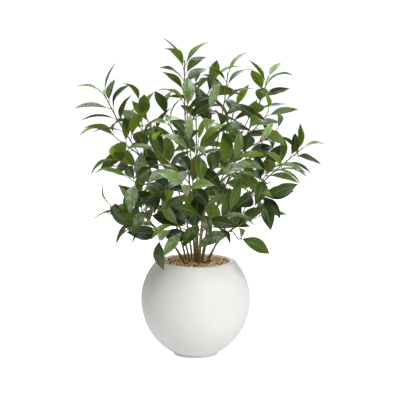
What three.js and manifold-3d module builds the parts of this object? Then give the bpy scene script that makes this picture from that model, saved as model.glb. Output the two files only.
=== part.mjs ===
// Bay laurel in a pot: a ball-shaped ceramic pot, soil that holds the stems, a dressing of gravel and
// fourteen leafy stems. Millimetres, +Z up, the pot's flat underside at the origin.
import * as THREE from "three";
import { mergeVertices } from "three/addons/utils/BufferGeometryUtils.js";
import Module from "manifold-3d";

const wasm = await Module();
wasm.setup();

// Pot: two half ellipsoids on a low foot, open at the top.
const POT_RADIUS = 104.5;
const POT_HEIGHT = 182;
const BELLY_HEIGHT = 106.5;
const UPPER_RISE = 106.5;
const LOWER_DROP = 112;
const FOOT_RADIUS = 43.5;
const FOOT_HEIGHT = 7;
const FOOT_EDGE = 2;
const FOOT_STEP = 1;
const WALL = 6.5;
const MOUTH_RADIUS = 62.7;
const LIP_RADIUS = 69.4;
const LIP_DROP = 4;
const LIP_ROUND = 3;
const ROUND_SIDES = 36;
const LOWER_STEPS = 7;
const UPPER_STEPS = 5;
const HOLLOW_LOWER_STEPS = 3;
const HOLLOW_UPPER_STEPS = 2;

// Filling: what holds the stems, up to the pot's neck, and the gravel on it.
const SEAT_GAP = 0.3;
const NECK_HEIGHT = 171;
const SHOULDER = 8;
const FLOOR_HEIGHT = 21;
const GRAVEL_TOP = 181.4;
const GRAVEL_RIM = 178.6;
const PEBBLE_PITCH = 15;
const PEBBLE_RUFFLE = 0.7;
const RUFFLE_WAVES = [[12.9, 7.3], [5.1, -8.7], [9.7, 3.9]];

// Shoots: the woody axes, in four-sided lengths that taper to the tip.
const STEM_FOOT_HEIGHT = 148;
const STEM_RADIUS = 2.2;
const STEM_TIP_RADIUS = 1.1;
const TWIG_RADIUS = 1.5;
const TWIG_TIP_RADIUS = 1;
const SHOOT_SIDES = 4;
const STEM_STEPS = 9;
const TWIG_STEPS = 3;
const GUIDE_REACH = 0.35;
const TRACK_PITCH = 4;
const STEEP = 0.8;

// Leaf: a stalk, then a pointed oval blade with a fold along its middle, an arch and waved margins. The
// widths, the arch and the stalk are shares of its length, and the pairs are ranges that it is drawn from.
const STEM_LEAF = 66;
const TWIG_LEAF = 70;
const LENGTH_SHARE = [0.9, 1.1];
const HALF_WIDTH = [0.18, 0.215];
const FOLD = [0.1, 0.35];
const ARCH = [0.04, 0.22];
const WAVE = [0.5, 1.3];
const RIPPLE = [9, 15];
const MARGIN_SHIFT = 2;
const BASE_ROUND = 1;
const POINT_ROUND = 1.15;
const STALK = 0.15;
const STALK_HALF = 0.9;
const STALK_ROOT = 0.6;
const BLADE_THICKNESS = 0.85;
const BLADE_STATIONS = [0.3, 0.66];
const LEAST_HALF = 0.3;

// Spray: the leaves of one shoot, from where its bare foot ends to its tip. Angles in degrees.
const TWIG_BARE = 0.35;
const LAST_LEAF = 0.985;
const CROWDING = 0.8;
const GOLDEN_ANGLE = 137.5;
const TIP_LEAN = 48;
const LEAN_SPREAD = 16;
const AZIMUTH_SPREAD = 28;
const ROLL_SPREAD = 70;
const TIP_STEADIER = 0.8;
const LEAST_SAG = 0.4;
const UPWARD = 0.5;
const TIP_SHORTER = 0.12;
const TIP_NARROWER = 0.3;

// Room round a leaf: from other blades, from a shoot's middle line to the blade and to its margin, and the
// share of a leaf beside its own shoot, or of any leaf at its foot, that needs none.
const TURNS_TRIED = [0, 30, -30, 60, -60];
const SAMPLE_STEPS = 13;
const BLADE_ROOM = 3;
const SHOOT_ROOM = 3.5;
const MARGIN_ROOM = 4.5;
const SEARCH_ROOM = 6;
const OWN_FOOT = 0.25;
const ANY_FOOT = 0.08;

const UP = new THREE.Vector3(0, 0, 1);
const radians = THREE.MathUtils.degToRad;
const between = ([low, high], share) => THREE.MathUtils.lerp(low, high, share);

const glaze = { color: 0xe9e8e4, roughness: 0.55, metalness: 0 };
const mould = { color: 0x4a3b2c, roughness: 0.95, metalness: 0 };
const stones = { color: 0x8b7150, roughness: 0.85, metalness: 0 };
const foliage = { color: 0x2c5a2a, roughness: 0.45, metalness: 0 };

// How a spray carries its leaves: their lean from the shoot and the turn from each to the next, in degrees,
// and how far the lower ones sag.
const HABITS = {
  upright: { lean: 50, step: GOLDEN_ANGLE, sag: 0.1 },
  open: { lean: 70, step: GOLDEN_ANGLE, sag: 0.1 },
  level: { lean: 90, step: GOLDEN_ANGLE, sag: 0 },
  drooping: { lean: 70, step: GOLDEN_ANGLE, sag: 0.4 },
  ranked: { lean: 55, step: 180, sag: 0.15 },
};

// A stem is a curve from its foot in the soil past two guide points to its growing tip, and bare of leaves
// for a share of its length. A twig leaves it at a share of its length, and rises or sinks to a tip of its
// own. A spray's turn is the angle of its first leaf round the shoot, in degrees.
const STEMS = [
  {
    name: "stem_upper_left",
    foot: [-8, -2],
    guides: [[-16, -5, 290], [-125, -10, 390]],
    tip: [-172, -30, 508],
    bare: 0.72,
    spray: { leaves: 9, habit: "ranked", turn: 270 },
    twigs: [
      { from: 0.5, tip: [-105, 10, 480], rise: 0.5, leaves: 6, habit: "upright", turn: 150 },
      { from: 0.6, tip: [-165, 40, 425], rise: 0.2, leaves: 6, habit: "open", turn: 150 },
    ],
  },
  {
    name: "stem_top",
    foot: [0, 3],
    guides: [[-6, 4, 300], [-26, 0, 450]],
    tip: [-20, 0, 563],
    bare: 0.72,
    spray: { leaves: 10, habit: "ranked", turn: 300 },
    twigs: [
      { from: 0.5, tip: [-15, -50, 490], rise: 0.4, leaves: 5, habit: "upright", turn: 345 },
      { from: 0.58, tip: [35, 30, 525], rise: 0.4, leaves: 6, habit: "upright", turn: 330 },
      { from: 0.45, tip: [-60, 40, 465], rise: 0.5, leaves: 6, habit: "upright", turn: 345 },
      { from: 0.4, tip: [10, -75, 405], rise: 0.3, leaves: 5, habit: "level", turn: 15 },
    ],
  },
  {
    name: "stem_upper_right",
    foot: [6, -3],
    guides: [[10, -4, 300], [50, -10, 420]],
    tip: [60, -20, 540],
    bare: 0.7,
    spray: { leaves: 8, habit: "ranked", turn: 120 },
    twigs: [
      { from: 0.5, tip: [25, -70, 470], rise: 0.4, leaves: 5, habit: "level", turn: 135 },
      { from: 0.45, tip: [75, 40, 470], rise: 0.5, leaves: 6, habit: "upright", turn: 210 },
      { from: 0.4, tip: [75, -65, 395], rise: 0.3, leaves: 5, habit: "upright", turn: 105 },
    ],
  },
  {
    name: "stem_right",
    foot: [8, 5],
    guides: [[22, 5, 280], [110, 5, 430]],
    tip: [137, 10, 532],
    bare: 0.72,
    spray: { leaves: 9, habit: "ranked", turn: 300 },
    twigs: [
      { from: 0.62, tip: [135, -40, 470], rise: 0.4, leaves: 6, habit: "drooping", turn: 330 },
      { from: 0.55, tip: [155, 35, 425], rise: 0.2, leaves: 6, habit: "level", turn: 240 },
      { from: 0.42, tip: [120, -45, 405], rise: 0.3, leaves: 5, habit: "open", turn: 60 },
    ],
  },
  {
    name: "stem_far_right",
    foot: [12, 0],
    guides: [[60, 0, 290], [140, -5, 345]],
    tip: [203, 0, 398],
    bare: 0.66,
    spray: { leaves: 8, habit: "ranked", turn: 300 },
    twigs: [
      { from: 0.5, tip: [140, -60, 375], rise: 0.4, leaves: 6, habit: "level", turn: 285 },
      { from: 0.45, tip: [135, -60, 310], rise: -0.2, leaves: 6, habit: "drooping", turn: 0 },
    ],
  },
  {
    name: "stem_low_right",
    foot: [10, -8],
    guides: [[40, -20, 250], [80, -30, 250]],
    tip: [125, 20, 265],
    bare: 0.55,
    spray: { leaves: 6, habit: "upright", turn: 195 },
    twigs: [
      { from: 0.45, tip: [80, -80, 235], rise: -0.2, leaves: 4, habit: "level", turn: 240 },
      { from: 0.5, tip: [110, 40, 330], rise: 0.4, leaves: 5, habit: "upright", turn: 225 },
    ],
  },
  {
    name: "stem_low_left",
    foot: [-9, -9],
    guides: [[-40, -25, 240], [-80, -50, 262]],
    tip: [-118, -60, 255],
    bare: 0.58,
    spray: { leaves: 6, habit: "upright", turn: 90 },
    twigs: [
      { from: 0.45, tip: [-68, -85, 238], rise: -0.4, leaves: 4, habit: "drooping", turn: 180 },
    ],
  },
  {
    name: "stem_left_low",
    foot: [-13, 0],
    guides: [[-40, 0, 240], [-90, -5, 255]],
    tip: [-158, 0, 285],
    bare: 0.6,
    spray: { leaves: 7, habit: "open", turn: 180 },
    twigs: [
      { from: 0.45, tip: [-95, -110, 305], rise: 0.2, leaves: 6, habit: "level", turn: 240 },
      { from: 0.5, tip: [-120, 90, 300], rise: 0.2, leaves: 5, habit: "open", turn: 240 },
    ],
  },
  {
    name: "stem_left",
    foot: [-13, 7],
    guides: [[-32, 25, 285], [-90, 0, 345]],
    tip: [-155, -40, 385],
    bare: 0.62,
    spray: { leaves: 8, habit: "level", turn: 330 },
    twigs: [
      { from: 0.5, tip: [-120, -110, 355], rise: 0.2, leaves: 6, habit: "drooping", turn: 30 },
      { from: 0.42, tip: [-80, -70, 330], rise: 0.2, leaves: 5, habit: "upright", turn: 240 },
    ],
  },
  {
    name: "stem_front",
    foot: [2, -10],
    guides: [[0, -20, 280], [-5, -90, 350]],
    tip: [-10, -130, 420],
    bare: 0.6,
    spray: { leaves: 7, habit: "drooping", turn: 240 },
    twigs: [
      { from: 0.5, tip: [70, -140, 385], rise: 0.3, leaves: 5, habit: "upright", turn: 60 },
      { from: 0.52, tip: [-75, -125, 420], rise: 0.4, leaves: 5, habit: "upright", turn: 330 },
      { from: 0.4, tip: [-20, -160, 350], rise: 0.1, leaves: 5, habit: "upright", turn: 285 },
    ],
  },
  {
    name: "stem_front_low",
    foot: [5, -14],
    guides: [[8, -40, 240], [10, -90, 265]],
    tip: [15, -155, 300],
    bare: 0.55,
    spray: { leaves: 6, habit: "drooping", turn: 270 },
    twigs: [
      { from: 0.42, tip: [-35, -130, 270], rise: 0.1, leaves: 5, habit: "open", turn: 225 },
      { from: 0.45, tip: [60, -115, 290], rise: 0.2, leaves: 5, habit: "upright", turn: 45 },
    ],
  },
  {
    name: "stem_back_left",
    foot: [-5, 12],
    guides: [[-10, 40, 290], [-60, 120, 370]],
    tip: [-100, 150, 445],
    bare: 0.6,
    spray: { leaves: 7, habit: "upright", turn: 240 },
    twigs: [
      { from: 0.48, tip: [-145, 115, 350], rise: 0.2, leaves: 5, habit: "upright", turn: 285 },
      { from: 0.42, tip: [-60, 170, 330], rise: 0.1, leaves: 5, habit: "open", turn: 180 },
    ],
  },
  {
    name: "stem_back",
    foot: [3, 14],
    guides: [[5, 40, 300], [0, 100, 420]],
    tip: [0, 120, 510],
    bare: 0.6,
    spray: { leaves: 7, habit: "drooping", turn: 240 },
    twigs: [
      { from: 0.5, tip: [5, 190, 390], rise: 0.2, leaves: 6, habit: "open", turn: 315 },
      { from: 0.36, tip: [10, 150, 275], rise: 0, leaves: 5, habit: "drooping", turn: 135 },
    ],
  },
  {
    name: "stem_back_right",
    foot: [9, 12],
    guides: [[20, 40, 290], [70, 120, 370]],
    tip: [110, 150, 450],
    bare: 0.6,
    spray: { leaves: 7, habit: "open", turn: 210 },
    twigs: [
      { from: 0.48, tip: [160, 105, 350], rise: 0.2, leaves: 5, habit: "upright", turn: 15 },
      { from: 0.42, tip: [70, 170, 330], rise: 0.1, leaves: 5, habit: "open", turn: 330 },
    ],
  },
];

function seeded(seed) {
  let state = seed;
  return () => {
    state = (state + 0x6d2b79f5) >>> 0;
    let t = Math.imul(state ^ (state >>> 15), state | 1);
    t ^= t + Math.imul(t ^ (t >>> 7), t | 61);
    return ((t ^ (t >>> 14)) >>> 0) / 4294967296;
  };
}

// Share of the blade's greatest half-width at s, from 0 at its base to 1 at its tip.
function outline(s) {
  const widest = BASE_ROUND / (BASE_ROUND + POINT_ROUND);
  return (s / widest) ** BASE_ROUND * ((1 - s) / (1 - widest)) ** POINT_ROUND;
}

class Shoot {
  constructor(stem, points, radius, tipRadius, steps) {
    this.stem = stem;
    this.curve = new THREE.CubicBezierCurve3(...points);
    this.radius = radius;
    this.tipRadius = tipRadius;
    this.steps = steps;
    this.track = this.curve.getPoints(Math.floor(points[0].distanceTo(points[3]) / TRACK_PITCH));
  }

  // The middle of the shoot's solid, whose lengths are straight between its rings.
  core(t) {
    const i = Math.min(Math.floor(t * this.steps), this.steps - 1);
    const [from, to] = [i, i + 1].map((step) => this.curve.getPoint(step / this.steps));
    return from.lerp(to, t * this.steps - i);
  }

  // Rings of points round the shoot, widened by spare.
  rings(spare = 0) {
    const rings = [];
    let normal = acrossFrom(this.curve.getTangent(0));
    for (let i = 0; i <= this.steps; i++) {
      const t = i / this.steps;
      const centre = this.curve.getPoint(t);
      const along = this.curve.getTangent(t);
      normal = levelled(normal, along);
      const second = new THREE.Vector3().crossVectors(along, normal);
      const radius = THREE.MathUtils.lerp(this.radius, this.tipRadius, t) + spare;
      if (i === 0) centre.addScaledVector(along, -spare);
      const ring = [];
      for (let k = 0; k < SHOOT_SIDES; k++) {
        const angle = (2 * Math.PI * k) / SHOOT_SIDES;
        const point = centre.clone().addScaledVector(normal, radius * Math.cos(angle));
        ring.push(point.addScaledVector(second, radius * Math.sin(angle)));
      }
      rings.push(ring);
    }
    return rings;
  }
}

// A direction square to a shoot's heading, to count its leaves' angles from.
function acrossFrom(heading) {
  const guide = Math.abs(heading.z) < STEEP ? UP : new THREE.Vector3(1, 0, 0);
  return new THREE.Vector3().crossVectors(heading, guide).normalize();
}

function levelled(direction, along) {
  return direction.clone().addScaledVector(along, -direction.dot(along)).normalize();
}

class Leaf {
  constructor(shoot, t, along, face, length, half, looks) {
    this.shoot = shoot;
    this.root = shoot.curve.getPoint(t);
    this.core = shoot.core(t);
    this.along = along;
    this.across = new THREE.Vector3().crossVectors(face, along).normalize();
    this.face = new THREE.Vector3().crossVectors(along, this.across);
    this.length = length;
    this.half = half;
    this.fold = between(FOLD, looks[0]);
    this.arch = length * between(ARCH, looks[1]);
    this.wave = between(WAVE, looks[2]);
    this.ripple = between(RIPPLE, looks[3]);
    this.phase = 2 * Math.PI * looks[4];
    this.centre = this.place(0.5, 0);
    this.samples = [];
    for (let i = 1; i <= SAMPLE_STEPS; i++) {
      const u = i / SAMPLE_STEPS;
      for (const side of [-1, 0, 1]) {
        this.samples.push({ u, point: this.place(u, side * this.halfAt(u)) });
      }
    }
  }

  halfAt(u) {
    if (u <= STALK) return STALK_HALF;
    return Math.max(this.half * outline(Math.min((u - STALK) / (1 - STALK), 1)), LEAST_HALF);
  }

  // Height of the blade over the straight line from root to tip: its arch, its fold and its waved edge.
  lift(u, v) {
    const phase = v > 0 ? this.phase + MARGIN_SHIFT : this.phase;
    const wave = this.wave * Math.sin(this.ripple * u + phase) * (v / this.half) ** 2;
    return 4 * this.arch * u * (1 - u) + this.fold * Math.abs(v) + wave;
  }

  place(u, v, above = 0) {
    const point = this.root.clone().addScaledVector(this.along, u * this.length);
    point.addScaledVector(this.across, v);
    return point.addScaledVector(this.face, this.lift(u, v) + above);
  }

  // Whether a point comes within the room of this blade or stalk, past its foot's share.
  meets(point, room, foot) {
    const offset = point.clone().sub(this.root);
    const u = offset.dot(this.along) / this.length;
    if (u <= foot || u >= 1 + room / this.length) return false;
    const v = offset.dot(this.across);
    const half = this.halfAt(u);
    if (Math.abs(v) >= half + room) return false;
    const height = this.lift(u, THREE.MathUtils.clamp(v, -half, half));
    return Math.abs(offset.dot(this.face) - height) < room;
  }

  // The samples of this leaf past its foot's share.
  past(foot) {
    return this.samples.filter(({ u }) => u > foot);
  }
}

// Whether a leaf stands clear of the leaves placed so far and of every shoot.
function isClear(leaf, leaves, shoots) {
  for (const other of leaves) {
    const reach = (leaf.length + other.length) / 2 + SEARCH_ROOM;
    if (leaf.centre.distanceTo(other.centre) > reach) continue;
    const foot = other.shoot === leaf.shoot ? OWN_FOOT : 0;
    if (leaf.past(foot).some(({ point }) => other.meets(point, BLADE_ROOM, foot))) return false;
    if (other.past(foot).some(({ point }) => leaf.meets(point, BLADE_ROOM, foot))) return false;
  }
  for (const shoot of shoots) {
    const foot = shoot === leaf.shoot ? OWN_FOOT : ANY_FOOT;
    const reach = leaf.length / 2 + SEARCH_ROOM;
    const near = shoot.track.filter((point) => point.distanceTo(leaf.centre) < reach);
    if (near.some((point) => leaf.meets(point, SHOOT_ROOM, foot))) return false;
    for (const { point } of leaf.past(foot)) {
      if (near.some((other) => other.distanceTo(point) < MARGIN_ROOM)) return false;
    }
  }
  return true;
}

// Leaves in a spiral or two ranks up the shoot. One that would touch something turns aside, and if no turn
// helps it is left off.
function growLeaves(shoot, bare, size, spray, seed, leaves, shoots) {
  const draw = seeded(seed);
  const { lean: baseLean, step, sag } = HABITS[spray.habit];
  let normal = acrossFrom(shoot.curve.getTangent(bare));
  for (let k = 0; k < spray.leaves; k++) {
    const q = k / (spray.leaves - 1);
    const t = bare + (LAST_LEAF - bare) * q ** CROWDING;
    const heading = shoot.curve.getTangent(t);
    normal = levelled(normal, heading);
    const second = new THREE.Vector3().crossVectors(heading, normal);
    const lean = radians(baseLean + (TIP_LEAN - baseLean) * q ** 4 + LEAN_SPREAD * (draw() - 0.5));
    const azimuth = spray.turn + k * step + AZIMUTH_SPREAD * (draw() - 0.5);
    const drop = sag * (1 - q) * (LEAST_SAG + draw());
    const roll = radians(ROLL_SPREAD * (1 - TIP_STEADIER * q * q) * (draw() - 0.5));
    const length = size * between(LENGTH_SHARE, draw()) * (1 - TIP_SHORTER * q ** 3);
    const half = length * between(HALF_WIDTH, draw()) * (1 - TIP_NARROWER * q ** 3);
    const looks = [draw(), draw(), draw(), draw(), draw()];
    for (const aside of TURNS_TRIED) {
      const angle = radians(azimuth + aside);
      const out = normal.clone().multiplyScalar(Math.cos(angle));
      out.addScaledVector(second, Math.sin(angle));
      const along = heading.clone().multiplyScalar(Math.cos(lean));
      along.addScaledVector(out, Math.sin(lean)).normalize();
      along.addScaledVector(UP, -drop).normalize();
      const upper = levelled(heading.clone().addScaledVector(UP, UPWARD), along);
      const side = new THREE.Vector3().crossVectors(upper, along);
      const face = upper.multiplyScalar(Math.cos(roll)).addScaledVector(side, Math.sin(roll));
      const leaf = new Leaf(shoot, t, along, face, length, half, looks);
      if (isClear(leaf, leaves, shoots)) {
        leaves.push(leaf);
        break;
      }
    }
  }
}

// A solid with a skin over rings that have the same number of points, flat at both ends. The second half of
// each ring is split the other way round, so that the two faces of a blade are split alike.
function skin(rings) {
  const sides = rings[0].length;
  const triangles = [];
  for (let k = 1; k < sides - 1; k++) {
    triangles.push([rings[0][0], rings[0][k + 1], rings[0][k]]);
  }
  for (let i = 0; i < rings.length - 1; i++) {
    for (let k = 0; k < sides; k++) {
      const next = (k + 1) % sides;
      const [a, b, c, d] = [rings[i][k], rings[i][next], rings[i + 1][next], rings[i + 1][k]];
      if (k < sides / 2) triangles.push([a, b, c], [a, c, d]);
      else triangles.push([a, b, d], [b, c, d]);
    }
  }
  const last = rings[rings.length - 1];
  for (let k = 1; k < sides - 1; k++) {
    triangles.push([last[0], last[k], last[k + 1]]);
  }
  return solidFrom(new THREE.BufferGeometry().setFromPoints(triangles.flat()));
}

// A manifold solid of a closed geometry, with its doubled points merged and its empty triangles dropped.
function solidFrom(geometry) {
  const bare = geometry.clone();
  bare.deleteAttribute("normal");
  bare.deleteAttribute("uv");
  const merged = mergeVertices(bare, 1e-4);
  const triangles = [];
  for (let i = 0; i < merged.index.count; i += 3) {
    const [a, b, c] = [merged.index.getX(i), merged.index.getX(i + 1), merged.index.getX(i + 2)];
    if (a !== b && b !== c && c !== a) triangles.push(a, b, c);
  }
  const mesh = new wasm.Mesh({
    numProp: 3,
    vertProperties: new Float32Array(merged.attributes.position.array),
    triVerts: new Uint32Array(triangles),
  });
  return new wasm.Manifold(mesh);
}

function leafSolid(leaf) {
  const foot = leaf.core.clone().addScaledVector(leaf.along, -STALK_ROOT);
  const right = leaf.place(STALK, STALK_HALF, STALK_HALF / 2);
  const left = leaf.place(STALK, -STALK_HALF, STALK_HALF / 2);
  const below = leaf.place(STALK, 0, -STALK_HALF);
  const rings = [Array(6).fill(foot), [right, right, left, left, below, right]];
  const thick = BLADE_THICKNESS / 2;
  for (const share of BLADE_STATIONS) {
    const u = STALK + (1 - STALK) * share;
    const half = leaf.halfAt(u);
    const upper = [half, 0, -half].map((v) => leaf.place(u, v, thick));
    const under = [-half, 0, half].map((v) => leaf.place(u, v, -thick));
    rings.push([...upper, ...under]);
  }
  const tips = [leaf.place(1, 0, thick), leaf.place(1, 0, -thick)];
  rings.push([...Array(3).fill(tips[0]), ...Array(3).fill(tips[1])]);
  return skin(rings);
}

function turned(profile) {
  const points = profile.map(([radius, height]) => new THREE.Vector2(radius, height));
  return solidFrom(new THREE.LatheGeometry(points, ROUND_SIDES).rotateX(Math.PI / 2));
}

// Points up the pot's belly between two heights, or up the same curve drawn in by an inset.
function bellyProfile(from, to, steps, inset) {
  const rise = to > BELLY_HEIGHT ? UPPER_RISE - inset : LOWER_DROP - inset;
  const angleAt = (height) => Math.asin((height - BELLY_HEIGHT) / rise);
  const profile = [];
  for (let i = 0; i <= steps; i++) {
    const angle = THREE.MathUtils.lerp(angleAt(from), angleAt(to), i / steps);
    profile.push([(POT_RADIUS - inset) * Math.cos(angle), BELLY_HEIGHT + rise * Math.sin(angle)]);
  }
  return profile;
}

function potSolid() {
  const lower = bellyProfile(FOOT_HEIGHT, BELLY_HEIGHT, LOWER_STEPS, 0);
  const upper = bellyProfile(BELLY_HEIGHT, POT_HEIGHT - LIP_DROP, UPPER_STEPS, 0).slice(1);
  return turned([
    [0, 0],
    [FOOT_RADIUS - FOOT_EDGE, 0],
    [FOOT_RADIUS, FOOT_EDGE],
    [FOOT_RADIUS + FOOT_STEP, FOOT_HEIGHT],
    ...lower,
    ...upper,
    [LIP_RADIUS + LIP_ROUND, POT_HEIGHT - LIP_ROUND / 2],
    [LIP_RADIUS, POT_HEIGHT],
    [MOUTH_RADIUS + LIP_ROUND / 2, POT_HEIGHT],
    [MOUTH_RADIUS, POT_HEIGHT - LIP_ROUND / 2],
    ...hollowProfile(0),
  ]);
}

// The wall of the hollow inside, from the mouth down to the middle of its floor.
function hollowProfile(gap) {
  const inset = WALL + gap;
  const lower = bellyProfile(FLOOR_HEIGHT, BELLY_HEIGHT, HOLLOW_LOWER_STEPS, inset);
  const upper = bellyProfile(BELLY_HEIGHT, NECK_HEIGHT - SHOULDER, HOLLOW_UPPER_STEPS, inset);
  const wall = [...lower, ...upper.slice(1), [MOUTH_RADIUS - gap, NECK_HEIGHT - gap]];
  return [[0, FLOOR_HEIGHT], ...wall].reverse();
}

function soilSolid() {
  return turned([...hollowProfile(SEAT_GAP).reverse(), [0, NECK_HEIGHT - SEAT_GAP]]);
}

// The dressing: a block whose top is a net of triangles, every third point of it the raised middle of a
// pebble. The block runs down to one point, and is cut to the pot's neck.
function gravelSolid() {
  const step = PEBBLE_PITCH / Math.sqrt(3);
  const row = step * Math.cos(Math.PI / 6);
  const cells = 2 * Math.ceil(MOUTH_RADIUS / row + 1);
  const block = new THREE.BoxGeometry(cells, cells, 1, cells, cells, 1);
  const points = block.attributes.position;
  for (let n = 0; n < points.count; n++) {
    const i = Math.round(points.getX(n));
    const j = Math.round(points.getY(n));
    const [high, wide, deep] = RUFFLE_WAVES.map(([a, b]) => PEBBLE_RUFFLE * Math.sin(a * i + b * j));
    const top = (i + j) % 3 === 0 ? GRAVEL_TOP + high / 2 : GRAVEL_RIM + high;
    if (points.getZ(n) > 0) points.setXYZ(n, step * (i - j / 2) + wide, row * j + deep, top);
    else points.setXYZ(n, 0, 0, 0);
  }
  const mouth = MOUTH_RADIUS - SEAT_GAP;
  const above = GRAVEL_TOP + PEBBLE_PITCH;
  const neck = turned([[0, NECK_HEIGHT], [mouth, NECK_HEIGHT], [mouth, above], [0, above]]);
  return solidFrom(block).intersect(neck);
}

function meshOf(name, solid, look) {
  const { vertProperties, triVerts, numProp } = solid.getMesh();
  const geometry = new THREE.BufferGeometry();
  const points = new THREE.InterleavedBuffer(new Float32Array(vertProperties), numProp);
  geometry.setAttribute("position", new THREE.InterleavedBufferAttribute(points, 3, 0));
  geometry.setIndex(Array.from(triVerts));
  const mesh = new THREE.Mesh(geometry, new THREE.MeshStandardMaterial(look));
  mesh.name = name;
  return mesh;
}

// All shoots first, so that every leaf can keep clear of them.
const shoots = [];
const sprays = [];
for (const stem of STEMS) {
  const [foot, first, second, tip] = [[...stem.foot, STEM_FOOT_HEIGHT], ...stem.guides, stem.tip].map(
    (point) => new THREE.Vector3(...point),
  );
  const axis = new Shoot(stem.name, [foot, first, second, tip], STEM_RADIUS, STEM_TIP_RADIUS, STEM_STEPS);
  shoots.push(axis);
  sprays.push([axis, stem.bare, STEM_LEAF, stem.spray]);
  for (const spray of stem.twigs) {
    const start = axis.curve.getPoint(spray.from);
    const goal = new THREE.Vector3(...spray.tip);
    const reach = GUIDE_REACH * start.distanceTo(goal);
    const leaving = start.clone().addScaledVector(axis.curve.getTangent(spray.from), reach);
    const arriving = goal.clone().sub(start).normalize().addScaledVector(UP, spray.rise).normalize();
    const guide = goal.clone().addScaledVector(arriving, -reach);
    const course = [start, leaving, guide, goal];
    const twig = new Shoot(stem.name, course, TWIG_RADIUS, TWIG_TIP_RADIUS, TWIG_STEPS);
    shoots.push(twig);
    sprays.push([twig, TWIG_BARE, TWIG_LEAF, spray]);
  }
}

const leaves = [];
sprays.forEach((spray, index) => growLeaves(...spray, index + 1, leaves, shoots));

const part = new THREE.Group();
part.name = "bay_laurel_in_a_pot";
part.add(meshOf("pot", potSolid(), glaze));

let soil = soilSolid();
let gravel = gravelSolid();
const stems = [];
for (const { name } of STEMS) {
  const own = shoots.filter((shoot) => shoot.stem === name);
  const [axis, ...twigs] = own;
  const hole = skin(axis.rings(SEAT_GAP));
  soil = soil.subtract(hole);
  gravel = gravel.subtract(hole);
  let solid = skin(axis.rings());
  for (const twig of twigs) solid = solid.add(skin(twig.rings()));
  for (const leaf of leaves.filter(({ shoot }) => shoot.stem === name)) solid = solid.add(leafSolid(leaf));
  stems.push(meshOf(name, solid, foliage));
}
part.add(meshOf("soil", soil, mould));
part.add(meshOf("gravel", gravel, stones));
part.add(...stems);

export default part;
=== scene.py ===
"""Bay laurel in a pot: a matt white ball pot, a dressing of small stones and fourteen leafy stems.

Metres, +Z up, the pot's flat underside at the origin. The plant's rule counts in millimetres, as the model
of its solids does, and MM turns them into metres where meshes are made.
"""
import math

import bmesh
import bpy
import numpy as np
from mathutils import Matrix, Vector, noise


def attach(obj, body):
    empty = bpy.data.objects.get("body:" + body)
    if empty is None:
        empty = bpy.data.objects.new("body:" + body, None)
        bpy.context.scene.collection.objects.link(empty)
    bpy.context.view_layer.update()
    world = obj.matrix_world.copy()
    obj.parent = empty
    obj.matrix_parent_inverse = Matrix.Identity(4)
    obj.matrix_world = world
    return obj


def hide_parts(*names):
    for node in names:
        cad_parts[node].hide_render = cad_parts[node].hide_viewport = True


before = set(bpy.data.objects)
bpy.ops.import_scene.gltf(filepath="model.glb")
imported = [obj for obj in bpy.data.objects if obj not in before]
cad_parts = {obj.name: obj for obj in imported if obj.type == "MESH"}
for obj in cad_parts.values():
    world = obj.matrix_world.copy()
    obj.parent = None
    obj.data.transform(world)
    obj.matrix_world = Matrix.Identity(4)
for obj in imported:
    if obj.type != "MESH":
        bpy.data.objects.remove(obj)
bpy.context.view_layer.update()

MM = 0.001

# Pot, in millimetres: two half ellipsoids on a low foot, open at the top. Inside, a straight neck under the
# lip runs out over a shoulder into the hollow.
POT_RADIUS = 104.5
POT_HEIGHT = 182
BELLY_HEIGHT = 106.5
UPPER_RISE = 106.5
LOWER_DROP = 112
FOOT_RADIUS = 43.5
FOOT_HEIGHT = 7
FOOT_ROUND = 2
WALL = 6.5
MOUTH_RADIUS = 62.7
NECK_HEIGHT = 171
SHOULDER = 8
FLOOR_HEIGHT = 21
LIP_DROP = 4
LIP_FULLNESS = 0.8

# Crease over the foot: its low point is out and down from the foot's top edge, its high point in and down
# from the belly's lower edge.
CREASE_LOW = (0.3, 1)
CREASE_HIGH = (0.6, 0.3)

# Steps of the pot's mesh: round it, up each half of the belly, over the lip and round the foot's edge.
POT_STEPS = 128
CURVE_STEPS = 24
LIP_STEPS = 10
FOOT_STEPS = 3

# Gravel: stones from a spiral that fills the mouth, on a bed. A stone's size is its greatest radius, and its
# flatness and slimness are shares of it. The pairs are ranges.
BED_HEIGHT = 175.5
STONE_PITCH = 2.5
STONE_SIZE = (2.1, 3.5)
STONE_FLATNESS = (0.55, 0.8)
STONE_SLIMNESS = (0.7, 0.95)
STONE_SIDES = 7
STONE_RINGS = 5
GRAVEL_SEED = 7

# Where a stone lies: its top at most, how deep it may sink, how far it drifts out or in, its turn about the
# mouth in radians, which fades with each millimetre out, and its tilt in radians.
STONE_TOP = 181.6
STONE_SINK = 2.6
STONE_DRIFT = 1.2
STONE_TURN = 0.5
TURN_FADE = 0.05
STONE_TILT = 0.5

# Lumps of a stone: their height as a share of its size, how close they are, and the span of the noise that
# each stone takes its own from.
LUMP_HEIGHT = 0.28
LUMP_PITCH = 1.1
LUMP_SPAN = 50

# Stones keep this share of their size clear of a stem, which is looked at up to this far over the lip.
STONE_ROOM = 0.7
STEM_CHECKED = 10

# Shoots: the height of the stems' feet, radii, how far off a twig's guide points lie as a share of its span,
# the pitch of the points that leaves keep clear of, and how upright a steep heading is.
STEM_FOOT_HEIGHT = 148
STEM_RADIUS = 2.2
STEM_TIP_RADIUS = 1.1
TWIG_RADIUS = 1.5
TWIG_TIP_RADIUS = 1
GUIDE_REACH = 0.35
TRACK_PITCH = 4
STEEP = 0.8

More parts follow.
